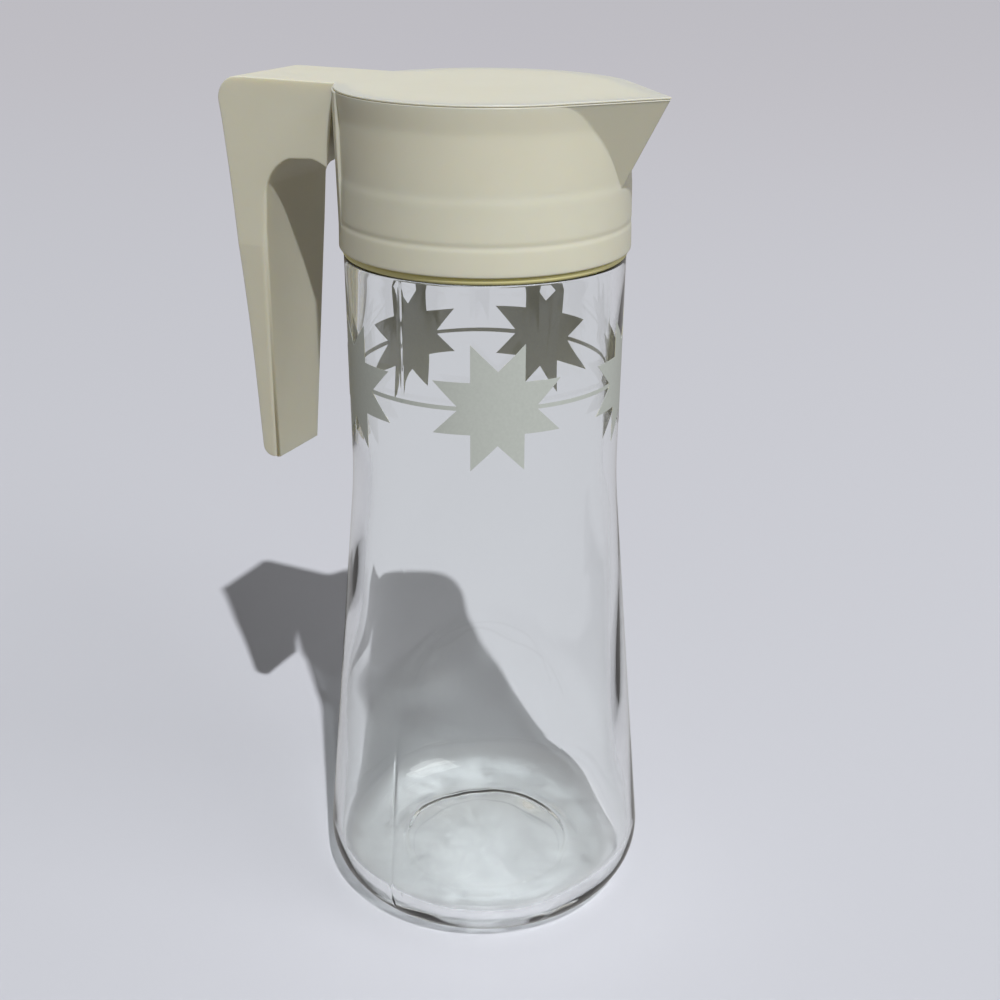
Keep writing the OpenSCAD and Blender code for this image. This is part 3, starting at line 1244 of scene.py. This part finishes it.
@dataclass
class LidAndHandle:
    """Lid and handle, one moulding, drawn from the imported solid. Sizes in mm.

    The solid's arch is held as its rear corner's distance behind the axis and
    radius, the same of its front corner, and its top, and the solid's corner as
    its middle's distance and height and its radius.
    """

    top_z: float = 185.1
    edge_z: float = 184.75
    lid_rear_x: float = -27.9
    rim_r: float = 30.15
    plug_r: float = 27.2
    half_handle: float = 11.8
    old_arch: tuple[float, float, float, float, float] = (39.6, 6.5, 34.2, 5.0, 169.2)
    arch_middle: tuple[float, float] = (36.25, 160.05)
    arch_r: float = 9.6
    arch_half_flat: float = 0.25
    arch_wall: float = 2.6
    old_corner: tuple[float, float, float] = (53.0, 181.4, 3.7)
    corner_r: float = 5.0
    edge_round: float = 0.35
    lid_round: float = 0.13
    grip_round: float = 2.0
    grip_fade_z: tuple[float, float] = (140.0, 160.0)
    grip_longer: float = 1.0
    grip_foot_drop: float = 39.0
    merge: float = 0.002
    flat_deg: float = 0.6
    cut: float = 0.01
    edge_deg: float = 40.0
    smooth_deg: float = 32.0
    large_mm2: float = 30.0

    def round_arch(self, x: np.ndarray, z: np.ndarray) -> tuple[np.ndarray, np.ndarray]:
        """Turns the finger opening's top from two corners and a flat into one round arch.

        Points move along rays from the arch's middle. A point near the old
        outline moves by the new outline's distance on its ray less the old one's,
        and the new one is the arch's radius plus half its flat times |cos a|.

        Args:
            x: Distances behind the jar's axis.
            z: Heights.

        Returns:
            The moved distances and heights.
        """
        rear_x, rear_r, front_x, front_r, top = self.old_arch
        rear = arc((rear_x, top - rear_r), rear_r, -24, 90, 60)
        front = arc((front_x, top - front_r), front_r, 90, 180, 40)
        outline = np.concatenate([rear, front]) - self.arch_middle
        angle = np.arctan2(outline[:, 1], outline[:, 0])
        old = np.hypot(outline[:, 0], outline[:, 1])
        dx, dz = x - self.arch_middle[0], z - self.arch_middle[1]
        turn, away = np.arctan2(dz, dx), np.hypot(dx, dz)
        at = np.interp(turn, angle, old)
        near = (dz > 0) & (np.abs(away - at - self.arch_wall / 2) < self.arch_wall / 2 + 0.2)
        step = np.where(near, self.arch_r + self.arch_half_flat * np.abs(np.cos(turn)) - at, 0)
        return x + step * np.cos(turn), z + step * np.sin(turn)

    def round_corner(self, x: np.ndarray, z: np.ndarray) -> tuple[np.ndarray, np.ndarray]:
        """Gives the handle's top rear corner a larger radius: each of its angles stays.

        Args:
            x: Distances behind the jar's axis.
            z: Heights.

        Returns:
            The moved distances and heights.
        """
        old_x, old_z, old_r = self.old_corner
        grow = self.corner_r - old_r
        dx, dz = x - old_x, z - old_z
        on = (np.abs(np.hypot(dx, dz) - old_r) < 0.03) & (dx > -0.01) & (dz > -0.01)
        turn = np.arctan2(dz, dx)
        new_x = old_x - grow + self.corner_r * np.cos(turn)
        new_z = old_z - grow + self.corner_r * np.sin(turn)
        return np.where(on, new_x, x), np.where(on, new_z, z)

    def reshape(self, mesh: bpy.types.Mesh) -> None:
        """Moves the mesh's points: the thin lid edge, the round arch and the rear corner.

        Below the lid's edge the lid's outline is scaled towards the axis by
        plug radius over rim radius, so that it fits inside the collar.

        Args:
            mesh: The closed mesh.
        """
        x, y, z = (read(mesh.vertices, "co", 3).astype(float) / MM).T
        beside = ~((x < 0) & (np.abs(y) < self.half_handle + 0.2))
        below = (z < self.edge_z - self.cut / 2) & (z > self.top_z - 1.4)
        thick = below & (np.hypot(x, y) > self.rim_r - 0.2) & beside
        share = np.where(thick, self.plug_r / self.rim_r, 1.0)
        x, y = x * share, y * share
        down = np.clip((self.grip_fade_z[0] - z) / self.grip_foot_drop, 0, None)
        z = z - self.grip_longer * down
        rear, z = self.round_arch(-x, z)
        rear, z = self.round_corner(rear, z)
        points = np.stack([-rear, y, z], axis=1) * MM
        mesh.vertices.foreach_set("co", points.astype(np.float32).ravel())
        mesh.update()

    def edge_weights(self, mesh: bpy.types.Mesh) -> np.ndarray:
        """Share of the largest round that each edge gets.

        Sharp edges on the outside get the small round, the lid's thin edge a
        smaller one, and the two long edges of the grip's inner face the large
        one, which fades out below the arch.

        Args:
            mesh: The closed mesh.

        Returns:
            One weight for each edge.
        """
        loop_edge = read(mesh.loops, "edge_index", kind=np.int32)
        total = read(mesh.polygons, "loop_total", kind=np.int32)
        side = np.repeat(np.arange(len(total)), total)[np.argsort(loop_edge, kind="stable")]
        normal = read(mesh.polygons, "normal", 3)[side.reshape(-1, 2)]
        first, second = normal[:, 0], normal[:, 1]
        bend = np.degrees(np.arccos(np.clip((first * second).sum(axis=1), -1, 1)))
        ends = read(mesh.edges, "vertices", 2, np.int32)
        x, y, z = (read(mesh.vertices, "co", 3)[ends].mean(axis=1) / MM).T

        sharp = bend > self.edge_deg
        side_face = np.abs(normal[:, :, 1]).max(axis=1) > 0.98
        inner_face = normal[:, :, 0].max(axis=1) > 0.9
        outer = np.abs(y) > 7.5
        size = np.where(sharp & outer & (x < -self.rim_r - 0.3), self.edge_round, 0.0)
        size = np.where(sharp & (z > self.top_z - 0.05), self.edge_round, size)
        lid = (x > 0) | (np.abs(y) > self.half_handle + 0.05)
        thin = lid & (z > self.edge_z - 0.05) & (np.hypot(x, y) > self.plug_r)
        size = np.where(sharp & thin, self.lid_round, size)
        low, high = self.grip_fade_z
        share = np.clip((high - z) / (high - low), 0, 1)
        grip = self.edge_round + (self.grip_round - self.edge_round) * share
        inside = sharp & side_face & inner_face & outer & (x > -50) & (x < -40)
        return np.where(inside, grip, size) / self.grip_round

    def build(self, node: bpy.types.Object) -> bpy.types.Object:
        """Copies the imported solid, merges its triangles to flat faces, reshapes and rounds it.

        Args:
            node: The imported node, which stays as it is.

        Returns:
            The new piece.
        """
        mesh = node.data.copy()
        mesh.name = "lid_and_handle_moulding"
        shape = bmesh.new()
        shape.from_mesh(mesh)
        bmesh.ops.remove_doubles(shape, verts=shape.verts, dist=self.merge * MM)
        flat = math.radians(self.flat_deg)
        bmesh.ops.dissolve_limit(shape, angle_limit=flat, verts=shape.verts, edges=shape.edges)
        for level in (self.edge_z, self.edge_z - self.cut):
            rear = self.lid_rear_x * MM
            sides = [face for face in shape.faces if min(v.co.x for v in face.verts) > rear]
            parts = {part for face in sides for part in (*face.verts, *face.edges, face)}
            middle = (0, 0, level * MM)
            bmesh.ops.bisect_plane(shape, geom=list(parts), plane_co=middle, plane_no=(0, 0, 1))
        shape.to_mesh(mesh)
        shape.free()
        self.reshape(mesh)
        weights = mesh.attributes.new("bevel_weight_edge", "FLOAT", "EDGE")
        weights.data.foreach_set("value", self.edge_weights(mesh).astype(np.float32))
        mesh.shade_smooth()
        mesh.set_sharp_from_angle(angle=math.radians(self.smooth_deg))
        lies = np.abs(read(mesh.polygons, "normal", 3))
        large = read(mesh.polygons, "area") > self.large_mm2 * MM * MM
        flat_side = large & ((lies[:, 2] > 0.9999) | (lies[:, 1] > 0.99))
        mesh.polygons.foreach_set("use_smooth", ~flat_side)
        piece = bpy.data.objects.new("lid_and_handle_moulding", mesh)
        bpy.context.scene.collection.objects.link(piece)
        bevel = piece.modifiers.new("soft_edges", "BEVEL")
        bevel.width = self.grip_round * MM
        bevel.segments = 4
        bevel.limit_method = "WEIGHT"
        bevel.use_clamp_overlap = False
        return piece


@dataclass
class Studio:
    """Camera, lamps, world and floor."""

    lens_mm: float = 50.4
    sensor_mm: float = 36.0
    camera_m: tuple[float, float, float] = (0.12835, -0.25746, 0.2196)
    pitch_deg: float = 23.36
    turn_deg: float = 26.5
    yaw_deg: float = -0.682
    roll_deg: float = 0.367
    sun_direction: tuple[float, float, float] = (0.487, -0.551, 1.0)
    sun_power: float = 2.85
    sun_width_deg: float = 0.9
    fill_m: tuple[float, float, float] = (1.2, -0.16, 1.18)
    fill_size_m: tuple[float, float] = (1.0, 0.7)
    fill_power: float = 6.8
    sky: str = "#FFFCF6"
    sky_power: float = 0.13
    surround_power: float = 0.6
    floor_half_m: float = 12.0

    def camera(self) -> None:
        """Places the camera, turned by pitch, roll and yaw in this order."""
        pitch, roll = math.radians(self.pitch_deg), math.radians(self.roll_deg)
        forward = Vector((0, math.cos(pitch), -math.sin(pitch)))
        up0 = Vector((0, math.sin(pitch), math.cos(pitch)))
        right0 = Vector((1, 0, 0))
        right = math.cos(roll) * right0 + math.sin(roll) * up0
        up = math.cos(roll) * up0 - math.sin(roll) * right0
        basis = Matrix((right, up, -forward)).transposed()
        turn = Matrix.Rotation(math.radians(self.turn_deg + self.yaw_deg), 3, "Z")
        data = bpy.data.cameras.new("camera")
        data.lens, data.sensor_width = self.lens_mm, self.sensor_mm
        data.clip_start, data.clip_end = 0.01, 50.0
        camera = bpy.data.objects.new("camera", data)
        camera.matrix_world = Matrix.Translation(self.camera_m) @ (turn @ basis).to_4x4()
        bpy.context.scene.collection.objects.link(camera)
        bpy.context.scene.camera = camera

    def lamp(
        self, name: str, kind: str, place: tuple[float, float, float], power: float
    ) -> bpy.types.Light:
        """Adds a lamp that shines on the origin.

        Args:
            name: Name of the lamp.
            kind: Blender's name of its kind.
            place: Where it stands in metres.
            power: Its energy.

        Returns:
            The lamp's data.
        """
        data = bpy.data.lights.new(name, kind)
        data.energy = power
        lamp = bpy.data.objects.new(name, data)
        lamp.rotation_mode = "QUATERNION"
        lamp.rotation_quaternion = Vector(place).to_track_quat("Z", "Y")
        lamp.location = place
        bpy.context.scene.collection.objects.link(lamp)
        return data

    def lamps(self) -> None:
        """Adds a distant lamp on the right above the camera, and a large soft one."""
        key = self.lamp("key_lamp", "SUN", self.sun_direction, self.sun_power)
        key.angle = math.radians(self.sun_width_deg)
        fill = self.lamp("fill_lamp", "AREA", self.fill_m, self.fill_power)
        fill.shape = "RECTANGLE"
        fill.size, fill.size_y = self.fill_size_m

    def world(self) -> None:
        """Adds soft light all round, and a paler surround where glass and gloss look at it."""
        world = bpy.data.worlds.new("soft_surround")
        world.use_nodes = True
        tree = world.node_tree
        tree.nodes.clear()
        power = remap(tree, seen_ray(tree, 1.0), (0.0, 1.0), (self.sky_power, self.surround_power))
        sky = add_node(tree, "ShaderNodeBackground", {"Color": linear(self.sky), "Strength": power})
        add_node(tree, "ShaderNodeOutputWorld", {"Surface": sky.outputs[0]})
        bpy.context.scene.world = world

    def floor(self) -> None:
        """Adds a large flat floor."""
        half = self.floor_half_m
        corners = [(-half, -half, 0), (half, -half, 0), (half, half, 0), (-half, half, 0)]
        mesh = bpy.data.meshes.new("floor")
        mesh.from_pydata(corners, [], [(0, 1, 2, 3)])
        floor = bpy.data.objects.new("floor", mesh)
        mesh.materials.append(StudioPaper().material())
        bpy.context.scene.collection.objects.link(floor)

    def build(self) -> None:
        """Builds the whole studio."""
        self.camera()
        self.lamps()
        self.world()
        self.floor()
        bpy.context.scene.view_settings.view_transform = "Standard"


def main() -> None:
    """Builds the studio and every piece, and reports each."""
    logging.basicConfig(level=logging.INFO, format="%(name)s: %(message)s")
    Studio().build()
    glass = PressedGlass().material()
    enamel = FiredEnamel().material()
    # Painted light: the stars' inner faces, shaded behind the glass, get a lighter, warmer copy of
    # the enamel, standing in for light through the thin print.
    enamel_inner_painted_light = FiredEnamel(
        "#DEDAB4", "#D0CCA6", roughness=0.35, name="ceramic_enamel_inner_face_painted_light"
    ).material()
    plastic = MouldedPolypropylene().material()
    vinyl = SoftVinyl().material()

    jar = GlassJar()
    shell = dress(jar.build(), glass, Body.JAR)
    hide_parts("glass_jar")
    for piece in StarPrint(jar).build():
        dress(piece, enamel, Body.JAR)
        face_back(piece, enamel_inner_painted_light)

    seal = dress(NeckSeal().build(), vinyl, Body.COLLAR)
    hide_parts("neck_seal")

    collar = PouringCollar()
    ring = dress(collar.shell(), plastic, Body.COLLAR)
    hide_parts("collar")
    dress(collar.lug(), plastic, Body.COLLAR)

    moulding = LidAndHandle().build(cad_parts["lid_and_handle"])
    lid = dress(moulding, plastic, Body.LID)
    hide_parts("lid_and_handle")


if __name__ == "__main__":
    main()
